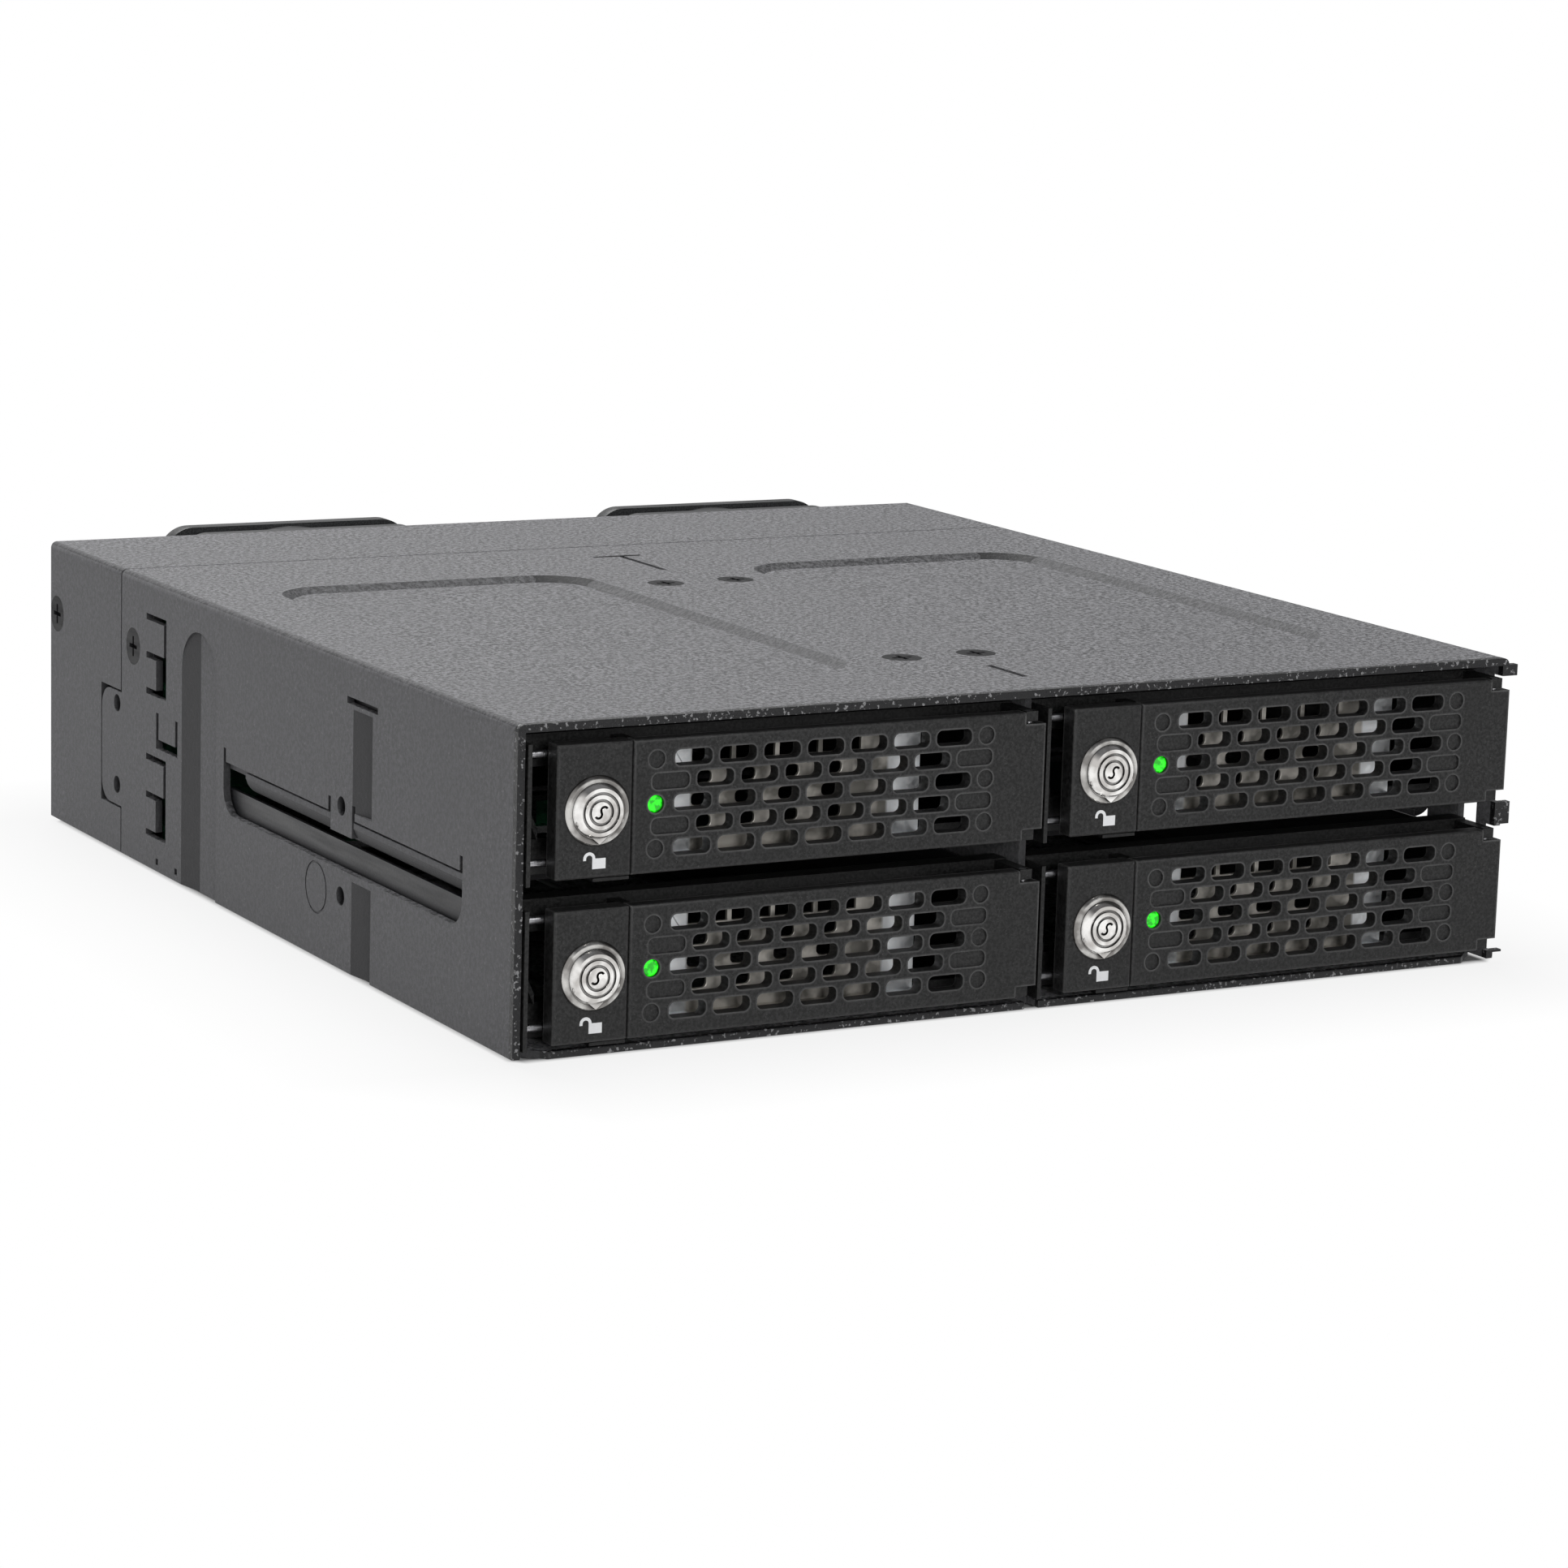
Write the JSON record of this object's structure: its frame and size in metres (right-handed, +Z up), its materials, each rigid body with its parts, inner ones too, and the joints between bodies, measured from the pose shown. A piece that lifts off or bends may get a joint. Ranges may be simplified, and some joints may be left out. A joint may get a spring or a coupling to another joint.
{
  "type": "hot swap drive cage",
  "caption": "Metal cage for a full width drive bay with keyed slide-out trays for small drives, slotted swing doors, a backplane and rear fans.",
  "frame": {"origin": "centre of the underside, midway between the doors and the rear faces of the fans", "axes": "+X to the right seen from the front, +Y from the doors to the fans, +Z up"},
  "size_m": [0.1474, 0.1712, 0.0413],
  "materials": {
    "grey_coat": "satin grey powder coat with a fine sparkle",
    "front_plastic": "fine matte black moulding",
    "tray_steel": "satin black coated sheet",
    "rod_steel": "bright drawn wire",
    "bright_plate": "bright zinc plated sheet",
    "green_lens": "clear green moulding, lit",
    "lock_chrome": "polished chrome",
    "board_green": "solder mask",
    "socket_plastic": "glossy black moulding",
    "header_plastic": "natural nylon",
    "fan_plastic": "satin black moulding",
    "screw_steel": "black zinc plate"
  },
  "bodies": {
    "cage": {"cage_shell": "grey_coat", "base_plate": "grey_coat", "centre_divider": "grey_coat", "mid_shelf_left": "grey_coat", "mid_shelf_right": "grey_coat", "rear_cover": "grey_coat", "backplane_board": "board_green", "drive_sockets": "socket_plastic", "data_ports": "socket_plastic", "power_sockets": "socket_plastic", "fan_headers": "header_plastic", "fan_frame_left": "fan_plastic", "fan_frame_right": "fan_plastic", "fan_screws": "screw_steel", "side_screws": "screw_steel", "top_screws": "screw_steel", "board_screws": "screw_steel"},
    "tray_lower_left": {"tray_sled_lower_left": "tray_steel", "bezel_lower_left": "front_plastic", "guide_rods_lower_left": "rod_steel", "grille_plate_lower_left": "bright_plate", "hinge_pin_lower_left": "rod_steel"},
    "door_leaf_lower_left": {"door_lower_left": "front_plastic", "status_lens_lower_left": "green_lens"},
    "latch_lower_left": {"lock_panel_lower_left": "front_plastic", "lock_ring_lower_left": "lock_chrome"},
    "key_lower_left": {"key_barrel_lower_left": "lock_chrome"},
    "tray_lower_right": {"tray_sled_lower_right": "tray_steel", "bezel_lower_right": "front_plastic", "guide_rods_lower_right": "rod_steel", "grille_plate_lower_right": "bright_plate", "hinge_pin_lower_right": "rod_steel"},
    "door_leaf_lower_right": {"door_lower_right": "front_plastic", "status_lens_lower_right": "green_lens"},
    "latch_lower_right": {"lock_panel_lower_right": "front_plastic", "lock_ring_lower_right": "lock_chrome"},
    "key_lower_right": {"key_barrel_lower_right": "lock_chrome"},
    "tray_upper_left": {"tray_sled_upper_left": "tray_steel", "bezel_upper_left": "front_plastic", "guide_rods_upper_left": "rod_steel", "grille_plate_upper_left": "bright_plate", "hinge_pin_upper_left": "rod_steel"},
    "door_leaf_upper_left": {"door_upper_left": "front_plastic", "status_lens_upper_left": "green_lens"},
    "latch_upper_left": {"lock_panel_upper_left": "front_plastic", "lock_ring_upper_left": "lock_chrome"},
    "key_upper_left": {"key_barrel_upper_left": "lock_chrome"},
    "tray_upper_right": {"tray_sled_upper_right": "tray_steel", "bezel_upper_right": "front_plastic", "guide_rods_upper_right": "rod_steel", "grille_plate_upper_right": "bright_plate", "hinge_pin_upper_right": "rod_steel"},
    "door_leaf_upper_right": {"door_upper_right": "front_plastic", "status_lens_upper_right": "green_lens"},
    "latch_upper_right": {"lock_panel_upper_right": "front_plastic", "lock_ring_upper_right": "lock_chrome"},
    "key_upper_right": {"key_barrel_upper_right": "lock_chrome"},
    "rotor_left": {"fan_rotor_left": "fan_plastic"},
    "rotor_right": {"fan_rotor_right": "fan_plastic"}
  },
  "joints": [
    {"name": "tray_slide_lower_left", "type": "slide", "parent": "cage", "child": "tray_lower_left", "axis": [0, -1, 0], "range_m": [0, 0.125]},
    {"name": "door_hinge_lower_left", "type": "hinge", "parent": "tray_lower_left", "child": "door_leaf_lower_left", "pos_m": [-0.0017, -0.0831, 0.01015], "axis": [0, 0, 1], "range_deg": [0, 85]},
    {"name": "latch_slide_lower_left", "type": "slide", "parent": "tray_lower_left", "child": "latch_lower_left", "axis": [-1, 0, 0], "range_m": [0, 0.0026], "stiffness_N_per_m": 300},
    {"name": "key_turn_lower_left", "type": "hinge", "parent": "latch_lower_left", "child": "key_lower_left", "pos_m": [-0.06285, -0.0835, 0.01015], "axis": [0, 1, 0], "range_deg": [0, 90]},
    {"name": "tray_slide_lower_right", "type": "slide", "parent": "cage", "child": "tray_lower_right", "axis": [0, -1, 0], "range_m": [0, 0.125]},
    {"name": "door_hinge_lower_right", "type": "hinge", "parent": "tray_lower_right", "child": "door_leaf_lower_right", "pos_m": [0.0708, -0.0831, 0.01015], "axis": [0, 0, 1], "range_deg": [0, 85]},
    {"name": "latch_slide_lower_right", "type": "slide", "parent": "tray_lower_right", "child": "latch_lower_right", "axis": [-1, 0, 0], "range_m": [0, 0.0026], "stiffness_N_per_m": 300},
    {"name": "key_turn_lower_right", "type": "hinge", "parent": "latch_lower_right", "child": "key_lower_right", "pos_m": [0.00965, -0.0835, 0.01015], "axis": [0, 1, 0], "range_deg": [0, 90]},
    {"name": "tray_slide_upper_left", "type": "slide", "parent": "cage", "child": "tray_upper_left", "axis": [0, -1, 0], "range_m": [0, 0.125]},
    {"name": "door_hinge_upper_left", "type": "hinge", "parent": "tray_upper_left", "child": "door_leaf_upper_left", "pos_m": [-0.0017, -0.0831, 0.03045], "axis": [0, 0, 1], "range_deg": [0, 85]},
    {"name": "latch_slide_upper_left", "type": "slide", "parent": "tray_upper_left", "child": "latch_upper_left", "axis": [-1, 0, 0], "range_m": [0, 0.0026], "stiffness_N_per_m": 300},
    {"name": "key_turn_upper_left", "type": "hinge", "parent": "latch_upper_left", "child": "key_upper_left", "pos_m": [-0.06285, -0.0835, 0.03045], "axis": [0, 1, 0], "range_deg": [0, 90]},
    {"name": "tray_slide_upper_right", "type": "slide", "parent": "cage", "child": "tray_upper_right", "axis": [0, -1, 0], "range_m": [0, 0.125]},
    {"name": "door_hinge_upper_right", "type": "hinge", "parent": "tray_upper_right", "child": "door_leaf_upper_right", "pos_m": [0.0708, -0.0831, 0.03045], "axis": [0, 0, 1], "range_deg": [0, 85]},
    {"name": "latch_slide_upper_right", "type": "slide", "parent": "tray_upper_right", "child": "latch_upper_right", "axis": [-1, 0, 0], "range_m": [0, 0.0026], "stiffness_N_per_m": 300},
    {"name": "key_turn_upper_right", "type": "hinge", "parent": "latch_upper_right", "child": "key_upper_right", "pos_m": [0.00965, -0.0835, 0.03045], "axis": [0, 1, 0], "range_deg": [0, 90]},
    {"name": "fan_spin_left", "type": "hinge", "parent": "cage", "child": "rotor_left", "pos_m": [-0.03205, 0.079, 0.0212], "axis": [0, 1, 0], "continuous": true},
    {"name": "fan_spin_right", "type": "hinge", "parent": "cage", "child": "rotor_right", "pos_m": [0.04045, 0.079, 0.0212], "axis": [0, 1, 0], "continuous": true}
  ]
}
